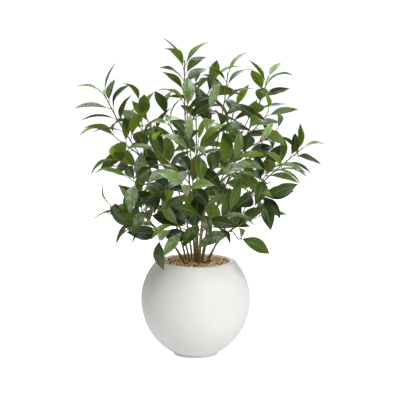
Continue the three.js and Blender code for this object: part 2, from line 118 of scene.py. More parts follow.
# Leaf, in millimetres, with its half-width, arch and stalk as shares of its length. Its fold is a slope, the
# ripple and shift of its margins are in radians, and the roundness of its ends is a power. The pairs are
# ranges that it is drawn from.
STEM_LEAF = 66
TWIG_LEAF = 70
LENGTH_SHARE = (0.9, 1.1)
HALF_WIDTH = (0.18, 0.215)
FOLD = (0.1, 0.35)
ARCH = (0.04, 0.22)
WAVE = (0.5, 1.3)
RIPPLE = (9, 15)
MARGIN_SHIFT = 2
BASE_ROUND = 1
POINT_ROUND = 1.15
STALK = 0.15
STALK_HALF = 0.9
LEAST_HALF = 0.3

# Spray: the leaves of one shoot, as shares of it from where its bare foot ends to its last leaf, and the
# power that crowds them towards its tip. Angles are in degrees. Near the tip leaves are steadier, shorter
# and narrower by these shares.
TWIG_BARE = 0.35
LAST_LEAF = 0.985
CROWDING = 0.8
GOLDEN_ANGLE = 137.5
TIP_LEAN = 48
LEAN_SPREAD = 16
AZIMUTH_SPREAD = 28
ROLL_SPREAD = 70
TIP_STEADIER = 0.8
LEAST_SAG = 0.4
UPWARD = 0.5
TIP_SHORTER = 0.12
TIP_NARROWER = 0.3

# How fast leaves change towards a spray's tip: their lean, and their length and width.
LEAN_POWER = 4
SIZE_POWER = 3

# Room round a leaf, as the solids keep it: the turns in degrees that a leaf tries, the steps that it is
# sampled in, the gaps that it keeps, and the shares of it, from its root, that may be near what is on its
# own shoot and near any shoot.
TURNS_TRIED = (0, 30, -30, 60, -60)
SAMPLE_STEPS = 13
BLADE_ROOM = 3
SHOOT_ROOM = 3.5
MARGIN_ROOM = 4.5
SEARCH_ROOM = 6
OWN_FOOT = 0.25
ANY_FOOT = 0.08

# Blade's mesh: its steps along, the shares of the half-width of its lines across, its thickness, how deep
# its midrib is sunk, and how far and how late its tip is drawn in.
BLADE_LENGTHS = 10
BLADE_WIDTHS = (-1, -0.62, -0.16, 0, 0.16, 0.62, 1)
BLADE_THICKNESS = 0.45
GROOVE = 0.35
DRAWN_TIP = 0.3
TIP_POWER = 9

# Stalk and midrib: shares of the leaf's length, each with the radius there in millimetres, and how far the
# middle lies below the groove.
STALK_RADII = (
    (0, 1),
    (0.04, 0.75),
    (0.08, 0.65),
    (STALK, 0.6),
    (0.2, 0.5),
    (0.35, 0.42),
    (0.55, 0.34),
    (0.75, 0.26),
    (0.92, 0.12),
)
MIDRIB_SUNK = 0.1

# Shoot's mesh: its steps, how round it is, how slim its tip is, and how high and how tightly it swells at
# a leaf.
SHOOT_STEPS = 36
SHOOT_BEVELS = 2
TIP_SLIMNESS = 0.7
NODE_SWELL = 0.3
NODE_TIGHTNESS = 60

# Young leaves: those past a share of their spray, and by chance a few of all, each with how young they may
# be. Sheen comes by chance too: a painted sheen, pale in a leaf's colour, with a little less roughness.
YOUNG_FROM = 0.55
YOUNG_AT_TIP = 0.75
ODD_YOUNG_FROM = 0.8
ODD_YOUNG = 0.75
SHEEN_FROM = 0.7
LOOKS_SEED = 1000

# Leaf pattern: the side veins on each half, how many of the gaps between them each climbs towards the tip,
# the power that curves it, and half its width as a share of a gap. The pairs count from 0 at the midrib to 1
# at the margin: where veins fade out, where the midrib ends, and where the pale margin begins.
VEINS = 9
VEIN_SLANT = 2.2
VEIN_CURVE = 0.8
VEIN_HALF = 0.09
VEINS_FADE = (1, 0.7)
RIB_EDGE = (0.09, 0.02)
MARGIN_EDGE = (0.9, 1)

# Flecks of a leaf: grains of noise to a vein and to a half-width, and how far apart in it leaves may lie.
FLECKS_ALONG = 1.6
FLECKS_ACROSS = 2.2
FLECKS_APART = 40

# Light in a leaf: how far it travels in millimetres, and the share of that for red, green and blue.
GLOW_REACH = 1.5
GLOW_SHARES = (0.5, 1, 0.15)

# Noise of each finish, in grains to a metre.
LEAF_BLOTCHES = 140
LEAF_PATCHES = 40
BARK_STREAKS = 420
BARK_PATCHES = 70
STALK_STREAKS = 300
GLAZE_CLOUDS = 14
GLAZE_GRIT = 1500
GLAZE_PITS = 90
PIT_PATCHES = 33
STONE_CLOUDS = 420
MIX_CRUMBS = 500

# Relief of each finish, in millimetres.
LEAF_RELIEF = 1.1
BARK_RELIEF = 0.6
STALK_RELIEF = 0.3
GLAZE_RELIEF = 0.4
STONE_RELIEF = 0.8
MIX_RELIEF = 1.5

# Masks: the value of a noise where a mask is 0, and the one where it is 1. A pit's edge is counted from its
# middle, as a share of the gap between pits.
SOFT = (0.3, 0.7)
FLECKED = (0.42, 0.6)
CRUMBLED = (0.35, 0.65)
STAINED = (0.4, 0.75)
PITTED = (0.5, 0.6)
PIT_EDGE = (0.07, 0.03)

# Shares in a finish's colour: how far patches shift a leaf's green, how much flecks break up its painted
# sheen, and how strongly flecks, the margin, pits and stains show.
PATCH_SHIFT = 0.8
SHEEN_BROKEN = 0.7
FLECK_SHARE = 0.25
MARGIN_SHARE = 0.3
PIT_SHARE = 0.35
STAIN_SHARE = 0.15

# Shares in a finish's relief: blotches, grit and clouds stand up, and veins and pits are sunk.
BLOTCH_RISE = 0.6
GRIT_RISE = 0.35
CLOUD_RISE = 0.4
VEIN_DROP = 0.4
PIT_DROP = 0.5

# Roughness of each finish but the leaves', and how far blotches, grit and sheen shift it.
BARK_ROUGHNESS = 0.7
STALK_ROUGHNESS = 0.5
GLAZE_ROUGHNESS = 0.52
STONE_ROUGHNESS = 0.75
MIX_ROUGHNESS = 0.95
FLOOR_ROUGHNESS = 0.9
BLOTCH_SHIFT = 0.2
GRIT_SHIFT = 0.12
SHEEN_SHIFT = 0.05

# Heights in metres between which a shoot's bark turns from old to new, and how far its patches shift them.
BARK_TURNS = (0.24, 0.42)
BARK_SHIFT = 0.16

# Blush inside the lip, in millimetres out from the mouth's edge: where it starts, and where it is full.
BLUSH_EDGE = (4.6, 3)

# Studio, in metres: the camera, with its tilt in degrees and its lens and sensor in millimetres, the floor,
# and the world's light, which grows between two depths and two sides of a direction from -1 to 1.
CAMERA_PLACE = (0.00831, -2.608, 0.677)
CAMERA_DOWN = 8.27
CAMERA_REACH = 2000
LENS = 124.97
SENSOR = 36
FLOOR_HALF = 600
FLOOR_GREY = 0.6
FLOOR_GLOW = 0.34
BACKDROP_GLOW = 0.5
BACKDROP_DEPTHS = (0.1, 0.7)
BACKDROP_SIDES = (-0.95, -0.3)
LEAST_GLOW = 0.01

# Each lamp's place, what it points at, its width and its power in watts.
LAMPS = {
    "key": ((1.0, -1.6, 1.7), (0, 0, 0.2), 1.4, 38),
    "top": ((-0.1, 0.1, 2.3), (0, 0, 0.3), 1.6, 41),
    "back": ((0.1, 2.2, 1.3), (0, 0, 0.2), 1.2, 11),
}

# Points of a mesh that are nearer than this, in metres, are one.
MERGED = 1e-7

UP = np.array([0.0, 0.0, 1.0])

# How a spray carries its leaves: their lean from the shoot, the turn from each to the next, and how far
# the lower ones sag.
HABITS = {
    "upright": (50, GOLDEN_ANGLE, 0.1),
    "open": (70, GOLDEN_ANGLE, 0.1),
    "level": (90, GOLDEN_ANGLE, 0),
    "drooping": (70, GOLDEN_ANGLE, 0.4),
    "ranked": (55, 180, 0.15),
}

# Stem: foot, two guide points, tip, bare share, leaves, habit, turn of the first leaf, and the twigs, each
# with where it leaves the stem, its tip, its rise, leaves, habit and turn.
STEMS = {
    "upper_left": (
        (-8, -2), (-16, -5, 290), (-125, -10, 390), (-172, -30, 508), 0.72, 9, "ranked", 270,
        [
            (0.5, (-105, 10, 480), 0.5, 6, "upright", 150),
            (0.6, (-165, 40, 425), 0.2, 6, "open", 150),
        ],
    ),
    "top": (
        (0, 3), (-6, 4, 300), (-26, 0, 450), (-20, 0, 563), 0.72, 10, "ranked", 300,
        [
            (0.5, (-15, -50, 490), 0.4, 5, "upright", 345),
            (0.58, (35, 30, 525), 0.4, 6, "upright", 330),
            (0.45, (-60, 40, 465), 0.5, 6, "upright", 345),
            (0.4, (10, -75, 405), 0.3, 5, "level", 15),
        ],
    ),
    "upper_right": (
        (6, -3), (10, -4, 300), (50, -10, 420), (60, -20, 540), 0.7, 8, "ranked", 120,
        [
            (0.5, (25, -70, 470), 0.4, 5, "level", 135),
            (0.45, (75, 40, 470), 0.5, 6, "upright", 210),
            (0.4, (75, -65, 395), 0.3, 5, "upright", 105),
        ],
    ),
    "right": (
        (8, 5), (22, 5, 280), (110, 5, 430), (137, 10, 532), 0.72, 9, "ranked", 300,
        [
            (0.62, (135, -40, 470), 0.4, 6, "drooping", 330),
            (0.55, (155, 35, 425), 0.2, 6, "level", 240),
            (0.42, (120, -45, 405), 0.3, 5, "open", 60),
        ],
    ),
    "far_right": (
        (12, 0), (60, 0, 290), (140, -5, 345), (203, 0, 398), 0.66, 8, "ranked", 300,
        [
            (0.5, (140, -60, 375), 0.4, 6, "level", 285),
            (0.45, (135, -60, 310), -0.2, 6, "drooping", 0),
        ],
    ),
    "low_right": (
        (10, -8), (40, -20, 250), (80, -30, 250), (125, 20, 265), 0.55, 6, "upright", 195,
        [
            (0.45, (80, -80, 235), -0.2, 4, "level", 240),
            (0.5, (110, 40, 330), 0.4, 5, "upright", 225),
        ],
    ),
    "low_left": (
        (-9, -9), (-40, -25, 240), (-80, -50, 262), (-118, -60, 255), 0.58, 6, "upright", 90,
        [
            (0.45, (-68, -85, 238), -0.4, 4, "drooping", 180),
        ],
    ),
    "left_low": (
        (-13, 0), (-40, 0, 240), (-90, -5, 255), (-158, 0, 285), 0.6, 7, "open", 180,
        [
            (0.45, (-95, -110, 305), 0.2, 6, "level", 240),
            (0.5, (-120, 90, 300), 0.2, 5, "open", 240),
        ],
    ),
    "left": (
        (-13, 7), (-32, 25, 285), (-90, 0, 345), (-155, -40, 385), 0.62, 8, "level", 330,
        [
            (0.5, (-120, -110, 355), 0.2, 6, "drooping", 30),
            (0.42, (-80, -70, 330), 0.2, 5, "upright", 240),
        ],
    ),
    "front": (
        (2, -10), (0, -20, 280), (-5, -90, 350), (-10, -130, 420), 0.6, 7, "drooping", 240,
        [
            (0.5, (70, -140, 385), 0.3, 5, "upright", 60),
            (0.52, (-75, -125, 420), 0.4, 5, "upright", 330),
            (0.4, (-20, -160, 350), 0.1, 5, "upright", 285),
        ],
    ),
    "front_low": (
        (5, -14), (8, -40, 240), (10, -90, 265), (15, -155, 300), 0.55, 6, "drooping", 270,
        [
            (0.42, (-35, -130, 270), 0.1, 5, "open", 225),
            (0.45, (60, -115, 290), 0.2, 5, "upright", 45),
        ],
    ),
    "back_left": (
        (-5, 12), (-10, 40, 290), (-60, 120, 370), (-100, 150, 445), 0.6, 7, "upright", 240,
        [
            (0.48, (-145, 115, 350), 0.2, 5, "upright", 285),
            (0.42, (-60, 170, 330), 0.1, 5, "open", 180),
        ],
    ),
    "back": (
        (3, 14), (5, 40, 300), (0, 100, 420), (0, 120, 510), 0.6, 7, "drooping", 240,
        [
            (0.5, (5, 190, 390), 0.2, 6, "open", 315),
            (0.36, (10, 150, 275), 0, 5, "drooping", 135),
        ],
    ),
    "back_right": (
        (9, 12), (20, 40, 290), (70, 120, 370), (110, 150, 450), 0.6, 7, "open", 210,
        [
            (0.48, (160, 105, 350), 0.2, 5, "upright", 15),
            (0.42, (70, 170, 330), 0.1, 5, "open", 330),
        ],
    ),
}


def seeded(seed):
    """A source of numbers from 0 to 1, the same one that the solids draw from."""
    state = seed

    def draw():
        nonlocal state
        state = (state + 0x6D2B79F5) & 0xFFFFFFFF
        t = ((state ^ (state >> 15)) * (state | 1)) & 0xFFFFFFFF
        t ^= (t + (((t ^ (t >> 7)) * (t | 61)) & 0xFFFFFFFF)) & 0xFFFFFFFF
        return ((t ^ (t >> 14)) & 0xFFFFFFFF) / 4294967296

    return draw


def between(ends, share):
    """The value that is a share of the way from one end to the other."""
    return ends[0] + (ends[1] - ends[0]) * share


def past(share, start):
    """How far a share is past its start: 0 up to there, and 1 at the whole."""
    return max(share - start, 0) / (1 - start)


def unit(vector):
    return vector / math.sqrt(vector @ vector)


def cross(a, b):
    return np.array([a[1] * b[2] - a[2] * b[1], a[2] * b[0] - a[0] * b[2], a[0] * b[1] - a[1] * b[0]])


def across_from(heading):
    """A direction square to a shoot's heading, to count its leaves' angles from."""
    return unit(cross(heading, UP if abs(heading[2]) < STEEP else np.array([1.0, 0.0, 0.0])))


def levelled(direction, along):
    """The part of a direction that is square to another."""
    return unit(direction - (direction @ along) * along)


class Shoot:
    """A woody axis along a cubic curve, with its leaves' places in nodes. It tapers to its tip."""

    def __init__(self, stem, points, radius, tip_radius):
        self.stem = stem
        self.points = np.array(points, float)
        self.radii = (radius, tip_radius)
        span = self.points[3] - self.points[0]
        steps = int(math.sqrt(span @ span) / TRACK_PITCH)
        self.track = np.array([self.at(i / steps) for i in range(steps + 1)])
        self.nodes = []

    def at(self, t):
        s = 1 - t
        return np.array([s * s * s, 3 * s * s * t, 3 * s * t * t, t * t * t]) @ self.points

    def heading(self, t):
        s = 1 - t
        return unit(np.array([s * s, 2 * s * t, t * t]) @ np.diff(self.points, axis=0))


def outline(s):
    """Share of the blade's greatest half-width at s, from 0 at its base to 1 at its tip."""
    widest = BASE_ROUND / (BASE_ROUND + POINT_ROUND)
    s = np.clip(s, 0, 1)
    return (s / widest) ** BASE_ROUND * ((1 - s) / (1 - widest)) ** POINT_ROUND


class Leaf:
    """A stalk and blade from a root along a straight line, which the blade rises over.

    Its rank is its share of the way up its spray, and looks are five draws that bend it.
    """

    def __init__(self, shoot, t, rank, along, face, length, half, looks):
        self.shoot = shoot
        self.rank = rank
        self.root = shoot.at(t)
        self.along = along
        self.across = unit(cross(face, along))
        self.face = cross(along, self.across)
        self.length = length
        self.half = half
        self.fold = between(FOLD, looks[0])
        self.arch = length * between(ARCH, looks[1])
        self.wave = between(WAVE, looks[2])
        self.ripple = between(RIPPLE, looks[3])
        self.phase = 2 * math.pi * looks[4]
        self.u = np.repeat(np.arange(1, SAMPLE_STEPS + 1) / SAMPLE_STEPS, 3)
        self.samples = self.place(self.u, np.tile([-1.0, 0.0, 1.0], SAMPLE_STEPS) * self.half_at(self.u))
        self.centre = self.place(0.5, 0)

    def half_at(self, u):
        blade = np.maximum(self.half * outline((u - STALK) / (1 - STALK)), LEAST_HALF)
        return np.where(u <= STALK, STALK_HALF, blade)

    def lift(self, u, v):
        """Height over the line from root to tip: the blade's arch, its fold and its waved margins."""
        phase = self.phase + np.where(v > 0, MARGIN_SHIFT, 0)
        wave = self.wave * np.sin(self.ripple * u + phase) * (v / self.half) ** 2
        return 4 * self.arch * u * (1 - u) + self.fold * np.abs(v) + wave

    def place(self, u, v, above=0):
        lift = self.lift(u, v) + above
        line = self.root + np.multiply.outer(u * self.length, self.along)
        return line + np.multiply.outer(v, self.across) + np.multiply.outer(lift, self.face)

    def beyond(self, foot):
        return self.samples[self.u > foot]

    def meets(self, points, room, foot):
        """Whether any point comes within the room of this blade or stalk, past its foot's share."""
        offset = points - self.root
        u, v, height = offset @ self.along / self.length, offset @ self.across, offset @ self.face
        near = (u > foot) & (u < 1 + room / self.length) & (np.abs(v) < self.half_at(u) + room)
        u, v, height = u[near], v[near], height[near]
        half = self.half_at(u)
        return bool((np.abs(height - self.lift(u, np.clip(v, -half, half))) < room).any())


def is_clear(leaf, leaves, shoots):
    """Whether a leaf stands clear of the leaves placed so far and of every shoot."""
    for other in leaves:
        if math.dist(leaf.centre, other.centre) > (leaf.length + other.length) / 2 + SEARCH_ROOM:
            continue
        foot = OWN_FOOT if other.shoot is leaf.shoot else 0
        if other.meets(leaf.beyond(foot), BLADE_ROOM, foot):
            return False
        if leaf.meets(other.beyond(foot), BLADE_ROOM, foot):
            return False
    for shoot in shoots:
        foot = OWN_FOOT if shoot is leaf.shoot else ANY_FOOT
        gaps = np.linalg.norm(shoot.track - leaf.centre, axis=1)
        near = shoot.track[gaps < leaf.length / 2 + SEARCH_ROOM]
        if not len(near):
            continue
        if leaf.meets(near, SHOOT_ROOM, foot):
            return False
        gaps = np.linalg.norm(leaf.beyond(foot)[:, None] - near[None], axis=2)
        if gaps.min() < MARGIN_ROOM:
            return False
    return True


def grow_leaves(shoot, bare, size, count, habit, turn, seed, leaves, shoots):
    """Leaves in a spiral or two ranks. One that would touch something turns aside or is left off."""
    draw = seeded(seed)
    base_lean, step, sag = HABITS[habit]
    normal = across_from(shoot.heading(bare))
    for k in range(count):
        rank = k / (count - 1)
        t = bare + (LAST_LEAF - bare) * rank**CROWDING
        heading = shoot.heading(t)
        normal = levelled(normal, heading)
        second = cross(heading, normal)
        lean = between((base_lean, TIP_LEAN), rank**LEAN_POWER) + LEAN_SPREAD * (draw() - 0.5)
        azimuth = turn + k * step + AZIMUTH_SPREAD * (draw() - 0.5)
        drop = sag * (1 - rank) * (LEAST_SAG + draw())
        roll = ROLL_SPREAD * (1 - TIP_STEADIER * rank * rank) * (draw() - 0.5)
        length = size * between(LENGTH_SHARE, draw()) * (1 - TIP_SHORTER * rank**SIZE_POWER)
        half = length * between(HALF_WIDTH, draw()) * (1 - TIP_NARROWER * rank**SIZE_POWER)
        looks = [draw() for _ in range(5)]
        lean, roll = math.radians(lean), math.radians(roll)
        for aside in TURNS_TRIED:
            angle = math.radians(azimuth + aside)
            out = math.cos(angle) * normal + math.sin(angle) * second
            along = unit(unit(math.cos(lean) * heading + math.sin(lean) * out) - drop * UP)
            upper = levelled(heading + UPWARD * UP, along)
            face = math.cos(roll) * upper + math.sin(roll) * cross(upper, along)
            leaf = Leaf(shoot, t, rank, along, face, length, half, looks)
            if is_clear(leaf, leaves, shoots):
                leaves.append(leaf)
                shoot.nodes.append(t)
                break


def grow_plant():
    """All shoots first, so that every leaf can keep clear of them, and then their leaves."""
    shoots, sprays = [], []
    for stem, (foot, first, second, tip, bare, count, habit, turn, twigs) in STEMS.items():
        axis = Shoot(stem, [(*foot, STEM_FOOT_HEIGHT), first, second, tip], STEM_RADIUS, STEM_TIP_RADIUS)
        shoots.append(axis)
        sprays.append((axis, bare, STEM_LEAF, count, habit, turn))
        for share, goal, rise, twig_count, twig_habit, twig_turn in twigs:
            start, goal = axis.at(share), np.array(goal, float)
            reach = GUIDE_REACH * math.dist(start, goal)
            arriving = unit(unit(goal - start) + rise * UP)
            points = [start, start + reach * axis.heading(share), goal - reach * arriving, goal]
            twig = Shoot(stem, points, TWIG_RADIUS, TWIG_TIP_RADIUS)
            shoots.append(twig)
            sprays.append((twig, TWIG_BARE, TWIG_LEAF, twig_count, twig_habit, twig_turn))
    leaves = []
    for index, spray in enumerate(sprays):
        grow_leaves(*spray, index + 1, leaves, shoots)
    return shoots, leaves


class Value:
    """An output of a node, for sums written in Python."""

    def __init__(self, wiring, socket):
        self.wiring = wiring
        self.socket = socket

    def maths(self, operation, *terms):
        return self.wiring.node("Math", {"operation": operation}, dict(enumerate(terms)))

    def __add__(self, other):
        return self.maths("ADD", self, other)

    __radd__ = __add__

    def __sub__(self, other):
        return self.maths("SUBTRACT", self, other)

    def __rsub__(self, other):
        return self.maths("SUBTRACT", other, self)

    def __mul__(self, other):
        return self.maths("MULTIPLY", self, other)

    __rmul__ = __mul__

    def __pow__(self, other):
        return self.maths("POWER", self, other)

    def __rpow__(self, other):
        return self.maths("POWER", other, self)

    def __abs__(self):
        return self.maths("ABSOLUTE", self)

    def fraction(self):
        return self.maths("FRACT", self)

    def within(self, low, high):
        """0 below low, 1 above high and a smooth rise between them, or a fall where high is the lower."""
        return self.wiring.node(
            "MapRange",
            {"interpolation_type": "SMOOTHSTEP"},
            {"Value": self, "From Min": low, "From Max": high},
        )

    def parts(self):
        """The three parts of a vector or a colour."""
        split = self.wiring.node("SeparateXYZ", {}, {"Vector": self}).socket.node
        return [Value(self.wiring, output) for output in split.outputs]


class Wiring:
    """The nodes of a material or of the world."""

    def __init__(self, holder):
        holder.use_nodes = True
        self.nodes = holder.node_tree.nodes
        self.links = holder.node_tree.links

    def feed(self, socket, value):
        if isinstance(value, Value):
            self.links.new(value.socket, socket)
        else:
            socket.default_value = value

    def node(self, kind, settings, sockets, output=0):
        """A node's output, with its settings made first and then the values or links of its sockets."""
        made = self.nodes.new("ShaderNode" + kind)
        for name, value in settings.items():
            if name == "stops":
                set_stops(made.color_ramp, value)
            else:
                setattr(made, name, value)
        for name, value in sockets.items():
            self.feed(made.inputs[name], value)
        return Value(self, made.outputs[output])

    def place(self, output="Object"):
        return self.node("TexCoord", {}, {}, output)


class Finish(Wiring):
    """A material with one Principled shader, and the nodes that vary it over the surface."""

    def __init__(self, name, specular):
        self.material = bpy.data.materials.new(name)
        super().__init__(self.material)
        self.surface = self.nodes["Principled BSDF"]
        self.set("Specular IOR Level", specular)

    def grain(self, scale, detail=3, roughness=0.5, at=None):
        """Noise from 0 to 1, with so many grains to a metre or to a unit of the place it is given."""
        sockets = {"Vector": at or self.place(), "Scale": scale, "Detail": detail, "Roughness": roughness}
        return self.node("TexNoise", {}, sockets)

    def mix(self, share, first, second):
        """A colour from the first, where the share is 0, to the second, where it is 1."""
        sockets = {"Factor": share, 6: first, 7: second}
        return self.node("Mix", {"data_type": "RGBA"}, sockets, 2)

    def ramp(self, share, stops):
        return self.node("ValToRGB", {"stops": stops}, {"Fac": share})

    def relief(self, height, depth, strength=1):
        """Bumps of a height from 0 to 1 that stand up to depth millimetres."""
        bump = self.node("Bump", {}, {"Height": height, "Distance": depth * MM, "Strength": strength})
        self.set("Normal", bump)

    def set(self, socket, value):
        self.feed(self.surface.inputs[socket], value)


def set_stops(ramp, stops):
    while len(ramp.elements) < len(stops):
        ramp.elements.new(1)
    for element, (position, color) in zip(ramp.elements, stops):
        element.position = position
        element.color = color


def grey(level):
    return (level, level, level, 1)


def tone(red, green, blue):
    """A linear colour from the three channels as they look on a screen, from 0 to 255."""
    channels = [c / 255 for c in (red, green, blue)]
    linear = [c / 12.92 if c <= 0.04045 else ((c + 0.055) / 1.055) ** 2.4 for c in channels]
    return (*linear, 1.0)


# Colours. A leaf face's greens go from old to young leaves, and the other pairs vary over a surface.
UPPER_GREENS = (tone(11, 22, 5), tone(53, 80, 9), tone(118, 152, 26))
UNDER_GREENS = (tone(44, 55, 5), tone(104, 126, 13), tone(160, 190, 26))
# Painted sheen: a pale colour mixed into a leaf's colour, standing for light caught on its gloss.
PAINTED_SHEEN = tone(184, 208, 170)
RIB = tone(146, 166, 92)
OLD_BARK = (tone(104, 91, 50), tone(162, 144, 90))
NEW_BARK = (tone(92, 87, 40), tone(136, 125, 62))
STALK_GREENS = (tone(116, 130, 52), tone(154, 162, 84))
GLAZE = (tone(245, 244, 241), tone(249, 248, 246))
GLAZE_PIT = tone(190, 184, 172)
LIP_BLUSH = tone(236, 212, 200)
STONES = (
    (0.0, tone(62, 36, 20)),
    (0.25, tone(190, 122, 68)),
    (0.45, tone(250, 198, 132)),
    (0.75, tone(255, 232, 180)),
    (0.85, tone(214, 186, 150)),
    (1.0, tone(255, 252, 236)),
)
STONE_STAIN = tone(120, 84, 50)
POTTING_MIX = (tone(26, 18, 12), tone(66, 48, 32))


def blade_pattern(finish, tint):
    """(across, rib, veins, flecks): how far out on the blade, its midrib, side veins and streaks by them."""
    along, side, _ = finish.place("UV").parts()
    side = side * 2 - 1
    across = abs(side)
    rib = across.within(*RIB_EDGE)
    rows = along * VEINS - across**VEIN_CURVE * VEIN_SLANT
    veins = abs(rows.fraction() - 0.5).within(VEIN_HALF, 0) * across.within(*VEINS_FADE)
    spot = {"X": rows * FLECKS_ALONG, "Y": side * FLECKS_ACROSS, "Z": tint * FLECKS_APART}
    flecks = finish.grain(1, roughness=0.6, at=finish.node("CombineXYZ", {}, spot)).within(*FLECKED)
    return across, rib, veins, flecks


def leaf_finish(name, greens, roughness, specular, glow, pale, rib_share, vein_share):
    """Leathery green: mottled, pale-veined, with a painted sheen that pales it where its sheen is strong."""
    finish = Finish(name, specular)
    traits = finish.node("Attribute", {"attribute_name": "traits"}, {}, "Color")
    tint, youth, sheen = traits.parts()
    across, rib, veins, flecks = blade_pattern(finish, tint)
    blotch = finish.grain(LEAF_BLOTCHES)
    patches = finish.grain(LEAF_PATCHES, detail=2)
    old, grown, young = greens
    body = finish.mix((tint + (patches - 0.5) * PATCH_SHIFT).within(0, 1), old, grown)
    body = finish.mix(youth, body, young)
    body = finish.mix(flecks * FLECK_SHARE, body, grown)
    # Painted sheen: paler where a leaf's sheen is strong, partly broken up by flecks.
    body = finish.mix(between((1, flecks), SHEEN_BROKEN) * sheen * pale, body, PAINTED_SHEEN)
    body = finish.mix(veins * vein_share, body, RIB)
    body = finish.mix(rib * rib_share + across.within(*MARGIN_EDGE) * MARGIN_SHARE, body, RIB)
    finish.set("Base Color", body)
    finish.set("Roughness", (blotch - 0.5) * BLOTCH_SHIFT - sheen * SHEEN_SHIFT + roughness)
    finish.relief(blotch * BLOTCH_RISE - (veins + rib) * VEIN_DROP, LEAF_RELIEF)
    finish.set("Subsurface Weight", glow)
    finish.set("Subsurface Radius", GLOW_SHARES)
    finish.set("Subsurface Scale", GLOW_REACH * MM)
    return finish.material


def bark_finish():
    """Grey-brown streaked bark low down, greener above."""
    finish = Finish("bark", specular=0.3)
    high = finish.place().parts()[2]
    streaks = finish.grain(BARK_STREAKS, detail=4, roughness=0.65)
    patches = finish.grain(BARK_PATCHES, detail=2)
    old = finish.mix(streaks.within(*SOFT), *OLD_BARK)
    new = finish.mix(streaks.within(*SOFT), *NEW_BARK)
    age = (high + (patches - 0.5) * BARK_SHIFT).within(*BARK_TURNS)
    finish.set("Base Color", finish.mix(age, old, new))
    finish.set("Roughness", BARK_ROUGHNESS)
    finish.relief(streaks, BARK_RELIEF, strength=0.7)
    return finish.material


def stalk_finish():
    """Yellow-green, finely streaked."""
    finish = Finish("leaf_stalk", specular=0.4)
    streaks = finish.grain(STALK_STREAKS, detail=2)
    finish.set("Base Color", finish.mix(streaks.within(*SOFT), *STALK_GREENS))
    finish.set("Roughness", STALK_ROUGHNESS)
    finish.relief(streaks, STALK_RELIEF, strength=0.4)
    return finish.material


def ceramic_finish():
    """Matt white glaze, faintly clouded, gritty and pitted, with a blush round the inside of the lip."""
    finish = Finish("matt_glaze", specular=0.35)
    cloud = finish.grain(GLAZE_CLOUDS)
    grit = finish.grain(GLAZE_GRIT, detail=2)
    specks = finish.node("TexVoronoi", {}, {"Vector": finish.place(), "Scale": GLAZE_PITS}, "Distance")
    pits = specks.within(*PIT_EDGE) * finish.grain(PIT_PATCHES, detail=1).within(*PITTED)
    x, y, z = finish.place().parts()
    reach = (x * x + y * y) ** 0.5
    inner = reach.within(*[(MOUTH_RADIUS + edge) * MM for edge in BLUSH_EDGE])
    body = finish.mix(cloud.within(*SOFT), *GLAZE)
    body = finish.mix(pits * PIT_SHARE, body, GLAZE_PIT)
    body = finish.mix(inner * z.within(BELLY_HEIGHT * MM, NECK_HEIGHT * MM), body, LIP_BLUSH)
    finish.set("Base Color", body)
    finish.set("Roughness", (grit - 0.5) * GRIT_SHIFT + GLAZE_ROUGHNESS)
    finish.relief(grit * GRIT_RISE + cloud * CLOUD_RISE - pits * PIT_DROP, GLAZE_RELIEF, strength=0.5)
    return finish.material


def stone_finish():
    """Tan, brown and cream stones, each of its own shade and a little stained."""
    finish = Finish("gravel_stone", specular=0.4)
    shade = finish.node("Attribute", {"attribute_name": "traits"}, {}, "Color").parts()[0]
    cloud = finish.grain(STONE_CLOUDS, detail=5, roughness=0.65)
    stain = cloud.within(*STAINED) * STAIN_SHARE
    finish.set("Base Color", finish.mix(stain, finish.ramp(shade, STONES), STONE_STAIN))
    finish.set("Roughness", STONE_ROUGHNESS)
    finish.relief(cloud, STONE_RELIEF, strength=0.7)
    return finish.material


def bed_finish():
    """Dark crumbly potting mix."""
    finish = Finish("potting_mix", specular=0.2)
    crumbs = finish.grain(MIX_CRUMBS, detail=5, roughness=0.7)
    finish.set("Base Color", finish.mix(crumbs.within(*CRUMBLED), *POTTING_MIX))
    finish.set("Roughness", MIX_ROUGHNESS)
    finish.relief(crumbs, MIX_RELIEF)
    return finish.material


def finished(bm, name, materials):
    """A piece made of a bmesh."""
    mesh = bpy.data.meshes.new(name)
    bm.to_mesh(mesh)
    bm.free()
    return shown(mesh, name, materials)


def shown(mesh, name, materials):
    """A piece made of a mesh: smooth, in its materials, and riding with the pot."""
    for material in materials:
        mesh.materials.append(material)
    mesh.shade_smooth()
    piece = bpy.data.objects.new(name, mesh)
    bpy.context.scene.collection.objects.link(piece)
    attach(piece, "root")
    return piece


def belly(start, stop, inset):
    """Points up the pot's belly between two heights, or up the same curve drawn in by an inset."""
    rise = (UPPER_RISE if stop > BELLY_HEIGHT else LOWER_DROP) - inset
    ends = [math.asin((height - BELLY_HEIGHT) / rise) for height in (start, stop)]
    angles = [between(ends, i / CURVE_STEPS) for i in range(CURVE_STEPS + 1)]
    return [((POT_RADIUS - inset) * math.cos(a), BELLY_HEIGHT + rise * math.sin(a)) for a in angles]


